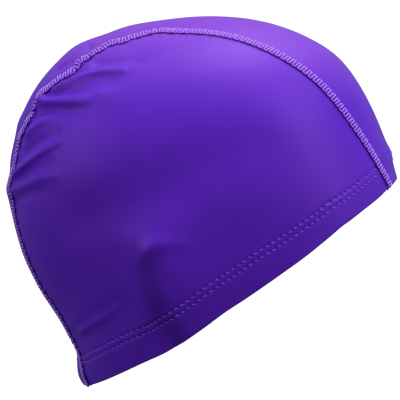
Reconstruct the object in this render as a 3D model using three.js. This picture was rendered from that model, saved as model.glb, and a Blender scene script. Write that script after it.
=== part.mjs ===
import * as THREE from "three";

// Swim cap of stretch knit, in the form it has on a head: a centre panel from forehead to nape,
// a panel over each ear, and the two sewn seams that join them.
// Millimetres and degrees. +Z is up, -Y is the forehead, +X is the wearer's left.

// Size and form of the worn cap
const capLength = 195;
const capWidth = 155;
const crownHeight = 89;
const wallReach = 122;
const sectionPower = 2.2;

// Cloth and hem
const clothThick = 1.2;
const hemHeight = 15.6;
const hemTurnEdge = 1.0;
const hemDrop = 64;
const hemTilt = 32;
const hemDip = 12;
const napeFlare = 1.5;

// Seams and the clearance between pieces
const seamReach = 42;
const seamWidth = 3.8;
const seamThick = 0.9;
const seamShoulder = 0.35;
const pieceGap = 0.3;

// Folds of the stretched cloth and the ear that lifts it
const foldDepth = 1.6;
const foldWidth = 5;
const earLift = 3.4;
const earSpread = 19;
const earRim = 1.9;
const earRimWidth = 6;

// Fineness of the mesh
const hemSteps = 3;
const sideSteps = 18;
const topSteps = 30;
const acrossSteps = 10;
const topStart = 70;
const topEnd = 170;
const evenPasses = 60;

// Crest line of the cap in the side view, every 20 degrees from the forehead over the crown to the
// nape and back under the ears: its reach from the middle of the head as a share of an ellipse.
const crestRows = [
  { angle: 0, share: 1.055 },
  { angle: 20, share: 1.0 },
  { angle: 40, share: 1.065 },
  { angle: 60, share: 1.05 },
  { angle: 80, share: 1.005 },
  { angle: 100, share: 0.985 },
  { angle: 120, share: 1.025 },
  { angle: 140, share: 1.03 },
  { angle: 160, share: 0.98 },
  { angle: 180, share: 0.96 },
  { angle: 200, share: 0.93 },
  { angle: 220, share: 0.84 },
  { angle: 240, share: 0.9 },
  { angle: 260, share: 1.18 },
  { angle: 280, share: 1.08 },
  { angle: 300, share: 1.045 },
  { angle: 320, share: 1.07 },
  { angle: 340, share: 1.08 },
];

// Half width of the centre panel at the same angles, as a share of seamReach.
const seamRows = [
  { angle: 0, share: 0.52 },
  { angle: 20, share: 0.86 },
  { angle: 40, share: 1.0 },
  { angle: 60, share: 0.97 },
  { angle: 80, share: 0.82 },
  { angle: 100, share: 0.74 },
  { angle: 120, share: 0.84 },
  { angle: 140, share: 0.88 },
  { angle: 160, share: 0.84 },
  { angle: 180, share: 0.72 },
  { angle: 200, share: 0.76 },
  { angle: 220, share: 0.78 },
  { angle: 240, share: 0.72 },
  { angle: 260, share: 0.6 },
  { angle: 280, share: 0.5 },
  { angle: 300, share: 0.5 },
  { angle: 320, share: 0.5 },
  { angle: 340, share: 0.45 },
];

// Rise of the hem's edge above its tilted plane, from the forehead to the nape: back is a share of
// half the length, rise a share of hemDip. The edge dips over the ears.
const hemRiseRows = [
  { back: -1.0, rise: 0.84 },
  { back: -0.75, rise: 0.57 },
  { back: -0.5, rise: 0.32 },
  { back: -0.25, rise: 0.12 },
  { back: 0.0, rise: -0.04 },
  { back: 0.25, rise: 0.11 },
  { back: 0.5, rise: 0.2 },
  { back: 0.75, rise: 0.52 },
  { back: 1.0, rise: 1.16 },
];

// Places where the folds pull the right seam off its smooth line: a share of seamReach.
const seamPullRows = [
  { angle: 103, pull: -0.06, spread: 8 },
  { angle: 134, pull: 0.05, spread: 7 },
  { angle: 149, pull: -0.06, spread: 6 },
];

// Folds as short ridges and valleys in the side view, from one end to the other.
// Back is a share of half the length, up a share of the crown height, width and depth are shares
// of foldWidth and foldDepth, and hand is -1 on the right panel and 1 on the left.
const foldRows = [
  { hand: -1, back1: 0.58, up1: 0.68, back2: 0.34, up2: 0.7, width: 1.0, depth: -1.0 },
  { hand: -1, back1: 0.69, up1: 0.58, back2: 0.42, up2: 0.61, width: 1.0, depth: 1.0 },
  { hand: -1, back1: 0.68, up1: 0.53, back2: 0.46, up2: 0.53, width: 1.0, depth: -0.6 },
  { hand: -1, back1: 0.48, up1: 0.77, back2: 0.28, up2: 0.76, width: 1.0, depth: 0.7 },
  { hand: -1, back1: 0.37, up1: 0.82, back2: 0.22, up2: 0.82, width: 0.9, depth: -0.6 },
  { hand: -1, back1: 0.83, up1: 0.21, back2: 0.62, up2: 0.37, width: 0.9, depth: 0.8 },
  { hand: -1, back1: 0.85, up1: 0.13, back2: 0.7, up2: 0.26, width: 0.8, depth: -0.8 },
  { hand: -1, back1: 0.95, up1: 0.04, back2: 0.67, up2: 0.17, width: 1.0, depth: 0.75 },
  { hand: -1, back1: 0.87, up1: -0.03, back2: 0.68, up2: 0.06, width: 1.2, depth: -0.5 },
  { hand: -1, back1: 0.53, up1: 0.84, back2: 0.45, up2: 0.85, width: 0.6, depth: -0.5 },
  { hand: -1, back1: 0.67, up1: 0.72, back2: 0.56, up2: 0.78, width: 0.8, depth: -0.5 },
  { hand: -1, back1: 0.53, up1: -0.74, back2: 0.27, up2: -0.53, width: 1.2, depth: -0.7 },
  { hand: -1, back1: 0.55, up1: -0.64, back2: 0.31, up2: -0.44, width: 1.2, depth: 0.5 },
  { hand: 1, back1: 0.64, up1: 0.62, back2: 0.4, up2: 0.63, width: 1.2, depth: -0.6 },
  { hand: 1, back1: 0.72, up1: 0.52, back2: 0.48, up2: 0.53, width: 1.2, depth: 0.6 },
  { hand: 1, back1: 0.84, up1: 0.16, back2: 0.64, up2: 0.3, width: 1.1, depth: 0.5 },
  { hand: 1, back1: 0.54, up1: -0.7, back2: 0.3, up2: -0.5, width: 1.3, depth: -0.5 },
];

// Rim of the ear under the cloth, from its front over the top and down its back edge, and the
// middle of the ear, in the same shares of the side view.
const earRimRows = [
  { back: -0.02, up: -0.1 },
  { back: 0.1, up: -0.13 },
  { back: 0.19, up: -0.22 },
  { back: 0.22, up: -0.33 },
  { back: 0.2, up: -0.46 },
  { back: 0.15, up: -0.58 },
];
const earMiddle = { back: 0.08, up: -0.34 };

const clothColor = 0x5b2fb0;
const threadColor = 0x8a5fdc;

const degree = Math.PI / 180;
const halfWidth = capWidth / 2;
const halfLength = capLength / 2;
const right = -1;
const left = 1;

// Soft closed curve over evenly spaced rows: each row pulls the curve towards itself.
function softShare(rows, angle) {
  const place = ((((angle % 360) + 360) % 360) / 360) * rows.length;
  const row = Math.floor(place);
  const t = place - row;
  const pulls = [(1 - t) ** 3, 3 * t ** 3 - 6 * t ** 2 + 4, 1 + 3 * (t + t ** 2 - t ** 3), t ** 3];
  let sum = 0;
  pulls.forEach((pull, k) => {
    sum += (pull / 6) * rows[(row + k - 1 + rows.length) % rows.length].share;
  });
  return sum;
}

function crestReach(angle) {
  const along = Math.cos(angle * degree) / halfLength;
  const height = Math.sin(angle * degree) > 0 ? crownHeight : wallReach;
  const upright = Math.sin(angle * degree) / height;
  return softShare(crestRows, angle) / Math.hypot(along, upright);
}

// Point of the smooth cap at a side-view angle and a distance to the side of the crest.
function smoothPoint(angle, side) {
  const share = Math.min(1, Math.abs(side) / halfWidth);
  const reach = crestReach(angle) * (1 - share ** sectionPower) ** (1 / sectionPower);
  return new THREE.Vector3(side, -reach * Math.cos(angle * degree), reach * Math.sin(angle * degree));
}

// Point of the smooth cap that the side view shows at given shares back and up.
function sideViewPoint(back, up, hand) {
  const y = back * halfLength;
  const z = up * crownHeight;
  const angle = Math.atan2(z, -y) / degree;
  const share = Math.min(1, Math.hypot(y, z) / crestReach(angle));
  return new THREE.Vector3(hand * halfWidth * (1 - share ** sectionPower) ** (1 / sectionPower), y, z);
}

const folds = foldRows.map((row) => ({
  line: new THREE.Line3(
    sideViewPoint(row.back1, row.up1, row.hand),
    sideViewPoint(row.back2, row.up2, row.hand),
  ),
  width: row.width * foldWidth,
  depth: row.depth * foldDepth,
}));

const ears = [right, left].map((hand) => {
  const rim = earRimRows.map((row) => sideViewPoint(row.back, row.up, hand));
  return {
    middle: sideViewPoint(earMiddle.back, earMiddle.up, hand),
    rim: rim.slice(1).map((point, k) => new THREE.Line3(rim[k], point)),
  };
});

const nearest = new THREE.Vector3();

function lineDistance(line, point) {
  line.closestPointToPoint(point, true, nearest);
  return nearest.distanceTo(point);
}

// The hem stands off the neck at the nape, where the cap narrows.
function napeLift(point) {
  const back = THREE.MathUtils.smoothstep(point.y / halfLength, 0.35, 0.6);
  const height = hemLevel(point) / hemHeight;
  return back * napeFlare * Math.exp(-(((height - 0.25) / 0.45) ** 2));
}

// How far folds, ears and the nape's flare lift the cloth at a point.
function clothLift(point) {
  let lift = napeLift(point);
  for (const fold of folds) {
    lift += fold.depth * Math.exp(-((lineDistance(fold.line, point) / fold.width) ** 2));
  }
  for (const ear of ears) {
    lift += earLift * Math.exp(-((ear.middle.distanceTo(point) / earSpread) ** 2));
    const rimDistance = Math.min(...ear.rim.map((line) => lineDistance(line, point)));
    lift += earRim * Math.exp(-((rimDistance / earRimWidth) ** 2));
  }
  return lift;
}

// Outer face of the cloth at a side-view angle and a distance to the side of the crest.
function clothPoint(angle, side) {
  const point = smoothPoint(angle, side);
  return point.addScaledVector(point.clone().normalize(), clothLift(point));
}

// Half width of the centre panel at a side-view angle.
function seamSide(angle, hand) {
  let share = softShare(seamRows, angle);
  if (hand === right) {
    for (const row of seamPullRows) {
      share += row.pull * Math.exp(-(((angle - row.angle) / row.spread) ** 2));
    }
  }
  return share * seamReach;
}

const hemRise = new THREE.CubicInterpolant(
  hemRiseRows.map((row) => row.back),
  hemRiseRows.map((row) => row.rise),
  1,
);

// Height of a point above the hem's edge, square to the tilted plane that the edge follows.
function hemLevel(point) {
  const edge = hemDip * hemRise.evaluate(point.y / halfLength)[0] - hemDrop;
  return (point.z - edge) * Math.cos(hemTilt * degree) + point.y * Math.sin(hemTilt * degree);
}

// Halving search for the place where a rising function passes a value.
function solve(rising, value, low, high) {
  let below = low;
  let above = high;
  for (let pass = 0; pass < 26; pass += 1) {
    const middle = (below + above) / 2;
    if (rising(middle) > value) above = middle;
    else below = middle;
  }
  return (below + above) / 2;
}

function frontAngle(level, sideAt) {
  return solve((angle) => hemLevel(clothPoint(angle, sideAt(angle))), level, -50, 60);
}

function backAngle(level, sideAt) {
  return solve((angle) => hemLevel(clothPoint(angle, sideAt(angle))), level, 290, 190);
}

// Heights of the mesh rows in the hem: its turned-up edge is a row of its own.
const hemRows = [];
for (let step = 0; step <= hemSteps; step += 1) hemRows.push((hemHeight * step) / hemSteps);
hemRows.push(hemHeight + hemTurnEdge);

// Side-view angles of the stations along one seam, shared by the pieces that meet there.
function seamStations(hand) {
  const sideAt = (angle) => hand * seamSide(angle, hand);
  const front = hemRows.map((level) => frontAngle(level, sideAt));
  const back = hemRows.map((level) => backAngle(level, sideAt)).reverse();
  const stations = [...front];
  const spans = [
    [front.at(-1), topStart, sideSteps],
    [topStart, topEnd, topSteps],
    [topEnd, back[0], sideSteps],
  ];
  for (const [start, end, steps] of spans) {
    for (let step = 1; step <= steps; step += 1) stations.push(start + ((end - start) * step) / steps);
  }
  return [...stations, ...back.slice(1)];
}

const rightStations = seamStations(right);
const leftStations = seamStations(left);

function stationsOf(hand) {
  return hand === right ? rightStations : leftStations;
}

// A side panel is laid out on a flat chart: direction is the side-view angle, distance from the
// middle grows from the side of the head to the crest.
function chartPoint(angle, turn) {
  return new THREE.Vector2(Math.cos(angle * degree), Math.sin(angle * degree)).multiplyScalar(turn);
}

function fromChart(chart, hand) {
  const angle = Math.atan2(chart.y, chart.x) / degree;
  const side = hand * halfWidth * Math.cos(Math.min(chart.length(), Math.PI / 2)) ** (2 / sectionPower);
  return clothPoint(angle, side);
}

function seamChart(angle, hand) {
  const share = (seamSide(angle, hand) + pieceGap / 2) / halfWidth;
  return chartPoint(angle, Math.acos(share ** (sectionPower / 2)));
}

// Chart points of one level line of the hem, evenly spaced from the front seam to the back seam.
function hemLine(level, front, back, hand) {
  const samples = 80;
  const chart = [];
  for (let k = 0; k <= samples; k += 1) {
    const angle = front + ((back - 360 - front) * k) / samples;
    const turn = solve((t) => -hemLevel(fromChart(chartPoint(angle, t), hand)), -level, 0.02, 1.56);
    chart.push(chartPoint(angle, turn));
  }
  chart[0] = seamChart(front, hand);
  chart[samples] = seamChart(back, hand);
  const places = chart.map((point) => fromChart(point, hand));
  const lengths = [0];
  for (let k = 1; k <= samples; k += 1) {
    lengths.push(lengths[k - 1] + places[k].distanceTo(places[k - 1]));
  }
  const line = [];
  let k = 1;
  for (let step = 0; step <= topSteps; step += 1) {
    const length = (lengths[samples] * step) / topSteps;
    while (k < samples && lengths[k] < length) k += 1;
    const share = (length - lengths[k - 1]) / (lengths[k] - lengths[k - 1]);
    line.push(chart[k - 1].clone().lerp(chart[k], share));
  }
  return line;
}

// Rows of chart points of a side panel, from the hem's edge up to the top of the seam.
function sideChart(hand) {
  const stations = stationsOf(hand);
  const last = stations.length - 1;
  const rows = hemRows.map((level, k) => hemLine(level, stations[k], stations[last - k], hand));
  const first = rows.length - 1;
  const bottom = rows[first];
  const top = [];
  for (let step = 0; step <= topSteps; step += 1) {
    top.push(seamChart(stations[first + sideSteps + step], hand));
  }
  const corners = [bottom[0], bottom[topSteps], top[0], top[topSteps]];
  for (let row = 1; row <= sideSteps; row += 1) {
    const up = row / sideSteps;
    const front = seamChart(stations[first + row], hand);
    const back = seamChart(stations[last - first - row], hand);
    const points = [];
    for (let step = 0; step <= topSteps; step += 1) {
      const along = step / topSteps;
      const point = bottom[step].clone().lerp(top[step], up);
      point.add(front.clone().lerp(back, along));
      const low = corners[0].clone().lerp(corners[1], along);
      const high = corners[2].clone().lerp(corners[3], along);
      points.push(point.sub(low.lerp(high, up)));
    }
    rows.push(points);
  }
  for (let pass = 0; pass < evenPasses; pass += 1) {
    for (let row = first + 1; row < first + sideSteps; row += 1) {
      for (let step = 1; step < topSteps; step += 1) {
        rows[row][step]
          .add(rows[row - 1][step])
          .add(rows[row + 1][step])
          .add(rows[row][step - 1])
          .add(rows[row][step + 1])
          .divideScalar(5);
      }
    }
  }
  return rows;
}

// Outward direction of a face given by a function of two values.
function outward(faceAt, u, v, step) {
  const alongU = faceAt(u + step, v).sub(faceAt(u - step, v));
  const alongV = faceAt(u, v + step).sub(faceAt(u, v - step));
  const normal = alongU.cross(alongV).normalize();
  return normal.dot(faceAt(u, v)) < 0 ? normal.negate() : normal;
}

// Point on the inner side of a wall whose outer face is given by a function of two values.
function innerPoint(faceAt, u, v, step, wall) {
  return faceAt(u, v).addScaledVector(outward(faceAt, u, v, step), -wall);
}

// The turned-up hem makes the wall two cloths thick.
function wallAt(rowFromEdge) {
  return rowFromEdge <= hemSteps ? 2 * clothThick : clothThick;
}

// Closed shell between an outer and an inner grid of points.
function shellGeometry(outer, inner) {
  const rowCount = outer.length;
  const across = outer[0].length;
  const positions = [];
  for (const grid of [outer, inner]) {
    for (const row of grid) {
      for (const point of row) positions.push(point.x, point.y, point.z);
    }
  }
  const index = [];
  const outside = (row, step) => row * across + step;
  const inside = (row, step) => (rowCount + row) * across + step;
  const place = (k) => new THREE.Vector3().fromArray(positions, 3 * k);
  // A cell is split along its shorter diagonal.
  const quad = (a, b, c, d) => {
    const other = place(b).distanceTo(place(d)) < place(a).distanceTo(place(c));
    index.push(...(other ? [a, b, d, b, c, d] : [a, b, c, a, c, d]));
  };
  for (let row = 0; row < rowCount - 1; row += 1) {
    for (let step = 0; step < across - 1; step += 1) {
      quad(outside(row, step), outside(row, step + 1), outside(row + 1, step + 1), outside(row + 1, step));
      quad(inside(row, step), inside(row + 1, step), inside(row + 1, step + 1), inside(row, step + 1));
    }
    quad(inside(row, 0), outside(row, 0), outside(row + 1, 0), inside(row + 1, 0));
    const end = across - 1;
    quad(outside(row, end), inside(row, end), inside(row + 1, end), outside(row + 1, end));
  }
  const top = rowCount - 1;
  for (let step = 0; step < across - 1; step += 1) {
    quad(inside(0, step), inside(0, step + 1), outside(0, step + 1), outside(0, step));
    quad(outside(top, step), outside(top, step + 1), inside(top, step + 1), inside(top, step));
  }
  return closedGeometry(positions, index);
}

// Geometry whose faces all point out of the enclosed space.
function closedGeometry(positions, index) {
  const corner = (k) => new THREE.Vector3().fromArray(positions, 3 * index[k]);
  let volume = 0;
  for (let k = 0; k < index.length; k += 3) {
    volume += corner(k).dot(corner(k + 1).cross(corner(k + 2)));
  }
  const geometry = new THREE.BufferGeometry();
  geometry.setAttribute("position", new THREE.Float32BufferAttribute(positions, 3));
  geometry.setIndex(volume > 0 ? index : index.reverse());
  geometry.computeVertexNormals();
  return geometry;
}

function sidePanel(hand) {
  const faceAt = (u, v) => fromChart(new THREE.Vector2(u, v), hand);
  const chart = sideChart(hand);
  const outer = chart.map((row) => row.map(({ x, y }) => faceAt(x, y)));
  const inner = chart.map((row, k) => row.map(({ x, y }) => innerPoint(faceAt, x, y, 0.01, wallAt(k))));
  return shellGeometry(outer, inner);
}

function centrePanel() {
  const last = rightStations.length - 1;
  const first = hemRows.length - 1;
  const edgeSide = (angle, hand) => hand * (seamSide(angle, hand) - pieceGap / 2);
  const sideAt = (angle, share) => THREE.MathUtils.lerp(edgeSide(angle, right), edgeSide(angle, left), share);
  const straight = (row, share) => THREE.MathUtils.lerp(rightStations[row], leftStations[row], share);
  const hemAngle = (row, share) => (row <= first
    ? frontAngle(hemRows[row], (angle) => sideAt(angle, share))
    : backAngle(hemRows[last - row], (angle) => sideAt(angle, share)));
  const columns = [];
  for (let step = 0; step <= acrossSteps; step += 1) {
    const share = step / acrossSteps;
    const frontBend = hemAngle(first, share) - straight(first, share);
    const backBend = hemAngle(last - first, share) - straight(last - first, share);
    const column = [];
    for (let row = 0; row <= last; row += 1) {
      const along = (row - first) / (last - 2 * first);
      const inHem = along < 0 || along > 1;
      const bend = inHem ? 0 : frontBend * (1 - along) ** 3 + backBend * along ** 3;
      const angle = inHem ? hemAngle(row, share) : straight(row, share) + bend;
      column.push({ angle, side: sideAt(angle, share) });
    }
    columns.push(column);
  }
  const outer = [];
  const inner = [];
  for (let row = 0; row <= last; row += 1) {
    const places = columns.map((column) => column[row]);
    outer.push(places.map(({ angle, side }) => clothPoint(angle, side)));
    const wall = wallAt(Math.min(row, last - row));
    inner.push(places.map(({ angle, side }) => innerPoint(clothPoint, angle, side, 0.4, wall)));
  }
  return shellGeometry(outer, inner);
}

// Section of a seam band, from its inner face on the cloth round its rounded top.
const bandSection = [
  { across: -0.5, height: 0 },
  { across: -0.5, height: seamShoulder / seamThick },
  { across: -0.3, height: 1 },
  { across: 0.3, height: 1 },
  { across: 0.5, height: seamShoulder / seamThick },
  { across: 0.5, height: 0 },
];

function seamBand(hand) {
  const stations = stationsOf(hand);
  const last = stations.length - 1;
  const first = hemRows.length - 1;
  const line = stations.map((angle) => clothPoint(angle, hand * seamSide(angle, hand)));
  const positions = [];
  stations.forEach((angle, k) => {
    const centre = line[k];
    const along = line[Math.min(k + 1, last)].clone().sub(line[Math.max(k - 1, 0)]).normalize();
    const normal = outward(clothPoint, angle, hand * seamSide(angle, hand), 0.4);
    const across = normal.clone().cross(along).normalize();
    // Near its ends each section is slanted until it lies level with the hem's edge.
    const slant = THREE.MathUtils.clamp(1 - (Math.min(k, last - k) - first) / first, 0, 1);
    const rise = (direction) => hemLevel(centre.clone().add(direction)) - hemLevel(centre);
    for (const direction of [across, normal]) {
      direction.addScaledVector(along, (-slant * rise(direction)) / (rise(along) || 1));
    }
    for (const corner of bandSection) {
      const place = centre.clone().addScaledVector(across, corner.across * seamWidth);
      const base = clothPoint(Math.atan2(place.z, -place.y) / degree, place.x);
      base.addScaledVector(normal, pieceGap + corner.height * seamThick);
      positions.push(base.x, base.y, base.z);
    }
  });
  const sides = bandSection.length;
  const index = [];
  for (let k = 0; k < last; k += 1) {
    for (let side = 0; side < sides; side += 1) {
      const next = (side + 1) % sides;
      const a = k * sides + side;
      const b = k * sides + next;
      index.push(a, b, b + sides, a, b + sides, a + sides);
    }
  }
  for (let side = 1; side < sides - 1; side += 1) {
    index.push(0, side + 1, side);
    index.push(last * sides, last * sides + side, last * sides + side + 1);
  }
  return closedGeometry(positions, index);
}

// The origin is where the top of the head meets the inside of the crown.
const crownInside = clothPoint(90, 0).z - clothThick;
const cloth = { color: clothColor, roughness: 0.6, metalness: 0 };
const thread = { color: threadColor, roughness: 0.75, metalness: 0 };

function piece(name, geometry, finish) {
  const mesh = new THREE.Mesh(geometry, new THREE.MeshStandardMaterial({ name, ...finish }));
  mesh.name = name;
  mesh.position.z = -crownInside;
  return mesh;
}

const group = new THREE.Group();
group.name = "swim_cap";
group.add(piece("centre_panel", centrePanel(), cloth));
group.add(piece("side_panel_right", sidePanel(right), cloth));
group.add(piece("side_panel_left", sidePanel(left), cloth));
group.add(piece("seam_right", seamBand(right), thread));
group.add(piece("seam_left", seamBand(left), thread));

export default group;
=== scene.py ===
# %% [markdown]
# # A stretch knit swim cap, in the form it has on a head
#
# The cap is sewn from a centre panel that runs from the forehead to the nape and a panel over each
# ear. An overlocked seam joins each side panel to the centre panel, and the lower edge is turned up
# and held by two needle rows. The solid model gives every size. This lesson dresses it: fine cloth
# with folds and puckers, a rounded hem, seam threads, hem stitches, knit, light and a camera.

import math

import bmesh
import bpy
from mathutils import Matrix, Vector, noise
from mathutils.bvhtree import BVHTree
from mathutils.kdtree import KDTree


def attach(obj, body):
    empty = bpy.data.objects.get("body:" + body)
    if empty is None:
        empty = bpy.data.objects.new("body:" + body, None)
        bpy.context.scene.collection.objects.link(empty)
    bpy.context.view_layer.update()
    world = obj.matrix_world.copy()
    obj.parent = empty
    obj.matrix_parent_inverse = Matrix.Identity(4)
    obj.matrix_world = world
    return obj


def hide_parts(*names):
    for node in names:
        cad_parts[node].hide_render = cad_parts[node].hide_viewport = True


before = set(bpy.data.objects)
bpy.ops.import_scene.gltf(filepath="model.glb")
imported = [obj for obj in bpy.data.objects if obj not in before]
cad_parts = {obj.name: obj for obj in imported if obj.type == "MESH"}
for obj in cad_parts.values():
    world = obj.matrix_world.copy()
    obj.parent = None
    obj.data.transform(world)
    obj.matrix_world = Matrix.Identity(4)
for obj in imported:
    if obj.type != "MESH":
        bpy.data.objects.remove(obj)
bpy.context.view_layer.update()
MM = 0.001

# %% [markdown]
# ## The camera
#
# The photograph looks at the wearer's right side from a little in front and a little above, from
# so far away that near and far parts keep almost the same scale. A long lens at 1.3 m gives that.
# The camera looks along one direction and is then moved a few millimetres sideways and down, which
# frames the cap as the photograph does without any lens shift.

# %% Camera at the photograph's angle
head_middle = Vector((0, 0, -87.4 * MM))
view_side = math.radians(5.8)
view_rise = math.radians(6.2)
view_distance = 1.3
pixels_per_mm = 1.99
image_width = 400

to_camera = Vector((
    -math.cos(view_side) * math.cos(view_rise),
    -math.sin(view_side) * math.cos(view_rise),
    math.sin(view_rise),
))
picture_right = Vector((math.sin(view_side), -math.cos(view_side), 0))
picture_up = to_camera.cross(picture_right)
shift_right = (200 - 195.0) / pixels_per_mm * MM
shift_down = (200 - 193.3) / pixels_per_mm * MM

camera_data = bpy.data.cameras.new("camera")
camera_data.sensor_width = 36
camera_data.lens = camera_data.sensor_width * pixels_per_mm / MM * view_distance / image_width
camera_data.clip_end = 100
camera = bpy.data.objects.new("camera", camera_data)
camera.location = head_middle + view_distance * to_camera
camera.location += shift_right * picture_right - shift_down * picture_up
camera.rotation_euler = to_camera.to_track_quat("Z", "Y").to_euler()
bpy.context.scene.collection.objects.link(camera)
bpy.context.scene.camera = camera
bpy.context.scene.view_settings.view_transform = "Standard"
print("lens", round(camera_data.lens, 1), "mm")

# %% [markdown]
# ## Floor and light
#
# The cap is held up in the air as a head holds it, so the floor lies well below it and only makes
# the plain pale background. A picture of a studio could light it, but six soft lamps say plainly
# where each light comes from. The lamp overhead and the one high in front give the pale top. One
# from the far side and one high at the back draw out the folds, and weaker ones at the forehead
# and the nape open the two ends of the side panel. The sky is even but darker from below, and the
# floor sends no light back up, so the lower part of the cap keeps its depth of colour.

# %% Floor
def link(name, data):
    """Put new data in the scene as an object at the origin."""
    item = bpy.data.objects.new(name, data)
    bpy.context.scene.collection.objects.link(item)
    return item


floor_mesh = bpy.data.meshes.new("floor")
floor_shape = bmesh.new()
bmesh.ops.create_grid(floor_shape, x_segments=1, y_segments=1, size=60)
bmesh.ops.translate(floor_shape, verts=floor_shape.verts, vec=(0, 0, -0.62))
floor_shape.to_mesh(floor_mesh)
floor_shape.free()
floor = link("floor", floor_mesh)
floor.visible_diffuse = False
floor.visible_glossy = False

pale = bpy.data.materials.new("pale_floor")
pale.use_nodes = True
pale_shader = pale.node_tree.nodes["Principled BSDF"]
pale_shader.inputs["Base Color"].default_value = (0.95, 0.95, 0.95, 1)
pale_shader.inputs["Roughness"].default_value = 0.9
pale_shader.inputs["Specular IOR Level"].default_value = 0
pale_shader.inputs["Emission Color"].default_value = (1, 1, 1, 1)
pale_shader.inputs["Emission Strength"].default_value = 1.0
floor_mesh.materials.append(pale)

# %% Even light all round, darker from below
sky = bpy.data.worlds.new("studio")
sky.use_nodes = True
bpy.context.scene.world = sky
sky_nodes = sky.node_tree.nodes
sky_place = sky_nodes.new("ShaderNodeTexCoord")
sky_height = sky_nodes.new("ShaderNodeSeparateXYZ")
sky_light = sky_nodes.new("ShaderNodeMapRange")
sky_light.inputs["From Min"].default_value = -0.6
sky_light.inputs["From Max"].default_value = 0.2
sky_light.inputs["To Min"].default_value = 0.25
sky.node_tree.links.new(sky_place.outputs["Generated"], sky_height.inputs["Vector"])
sky.node_tree.links.new(sky_height.outputs["Z"], sky_light.inputs["Value"])
sky.node_tree.links.new(sky_light.outputs["Result"], sky_nodes["Background"].inputs["Color"])
sky_nodes["Background"].inputs["Strength"].default_value = 0.26


# %% Soft lamps
def soft_lamp(name, place, size, power):
    """A square lamp that faces the middle of the head."""
    lamp = bpy.data.lights.new(name, "AREA")
    lamp.size = size
    lamp.energy = power
    item = link(name, lamp)
    item.location = place
    item.rotation_euler = (Vector(place) - head_middle).to_track_quat("Z", "Y").to_euler()
    return item


soft_lamp("lamp_overhead", (0, -0.1, 1.2), 0.5, 8.0)
soft_lamp("lamp_far_side", (0.5, -0.3, 1.0), 0.6, 2.2)
soft_lamp("lamp_high_back", (-0.2, 0.6, 1.1), 0.4, 1.5)
soft_lamp("lamp_high_front", (-0.5, -1.0, 0.9), 0.6, 7.0)
soft_lamp("lamp_forehead", (-0.5, -1.2, 0.25), 0.6, 3.2)
soft_lamp("lamp_nape", (-0.7, 1.2, 0.4), 0.8, 5.2)

# %% [markdown]
# ## Cloth and thread
#
# The cloth is a smooth knit of polyester and elastane in one violet, with a soft satin gloss where
# the fibres lie stretched. Modelled loops would need millions of faces, so the shader gives rows of
# tiny loops as bump, which follow the cloth through its own UV map, a faint unevenness of colour
# from the stretch, and a little sheen at grazing angles. Over the crown a paler violet is mixed in
# as a painted highlight, and on the band behind the ear, where the cloth climbs over it, a darker
# one as painted shade. That band is an attribute of the cloth's points. The seams are sewn in a
# paler violet thread, which is rougher and shows its twist, and the hem in one nearer to the cloth.

# %% Knit cloth
def node(tree, kind, **inputs):
    """Add a shader node and set its sockets by name."""
    item = tree.nodes.new(kind)
    for key, value in inputs.items():
        item.inputs[key].default_value = value
    return item


knit = bpy.data.materials.new("knit_cloth")
knit.use_nodes = True
knit_tree = knit.node_tree
knit_shader = knit_tree.nodes["Principled BSDF"]
knit_shader.inputs["Specular IOR Level"].default_value = 0.3
knit_shader.inputs["Specular Tint"].default_value = (0.9, 0.4, 1.0, 1)
knit_shader.inputs["Sheen Weight"].default_value = 0.05
knit_shader.inputs["Sheen Roughness"].default_value = 0.35
knit_shader.inputs["Sheen Tint"].default_value = (0.7, 0.35, 1.0, 1)

knit_place = node(knit_tree, "ShaderNodeTexCoord")
stretch = node(knit_tree, "ShaderNodeTexNoise", Scale=45.0, Detail=4.0, Roughness=0.6)
fibre = node(knit_tree, "ShaderNodeTexNoise", Scale=900.0, Detail=2.0, Roughness=0.6)
knit_tree.links.new(knit_place.outputs["Object"], stretch.inputs["Vector"])
knit_tree.links.new(knit_place.outputs["Object"], fibre.inputs["Vector"])

shade = node(knit_tree, "ShaderNodeMix")
shade.data_type = "FLOAT"
shade.inputs["Factor"].default_value = 0.35
knit_tree.links.new(stretch.outputs["Fac"], shade.inputs["A"])
knit_tree.links.new(fibre.outputs["Fac"], shade.inputs["B"])
violet = node(knit_tree, "ShaderNodeValToRGB")
violet.color_ramp.elements[0].position = 0.3
violet.color_ramp.elements[0].color = (0.106, 0.0175, 0.58, 1)
violet.color_ramp.elements[1].position = 0.7
violet.color_ramp.elements[1].color = (0.126, 0.021, 0.655, 1)
knit_tree.links.new(shade.outputs["Result"], violet.inputs["Fac"])

# %% Painted highlight over the crown, painted shade behind the ear
# Painted highlight: towards the top, and most over the centre panel, the violet is mixed with a paler one
# where the light falls most.
height = node(knit_tree, "ShaderNodeSeparateXYZ")
knit_tree.links.new(knit_place.outputs["Object"], height.inputs["Vector"])
top = node(knit_tree, "ShaderNodeMapRange", **{"From Min": -40 * MM, "From Max": -5 * MM})
knit_tree.links.new(height.outputs["Z"], top.inputs["Value"])
off_centre = node(knit_tree, "ShaderNodeMath")
off_centre.operation = "ABSOLUTE"
knit_tree.links.new(height.outputs["X"], off_centre.inputs[0])
middle_strip = node(
    knit_tree, "ShaderNodeMapRange", **{"From Min": 52 * MM, "From Max": 36 * MM, "To Min": 0.4},
)
knit_tree.links.new(off_centre.outputs["Value"], middle_strip.inputs["Value"])
crown_highlight_share = node(knit_tree, "ShaderNodeMath")
crown_highlight_share.operation = "MULTIPLY"
knit_tree.links.new(top.outputs["Result"], crown_highlight_share.inputs[0])
knit_tree.links.new(middle_strip.outputs["Result"], crown_highlight_share.inputs[1])
crown_highlight = node(knit_tree, "ShaderNodeMix")
crown_highlight.data_type = "RGBA"
crown_highlight.inputs["B"].default_value = (0.215, 0.052, 0.62, 1)
knit_tree.links.new(crown_highlight_share.outputs["Value"], crown_highlight.inputs["Factor"])
knit_tree.links.new(violet.outputs["Color"], crown_highlight.inputs["A"])

# Painted shade: the violet is mixed with a darker one on the band where the cloth climbs over the ear.
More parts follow.
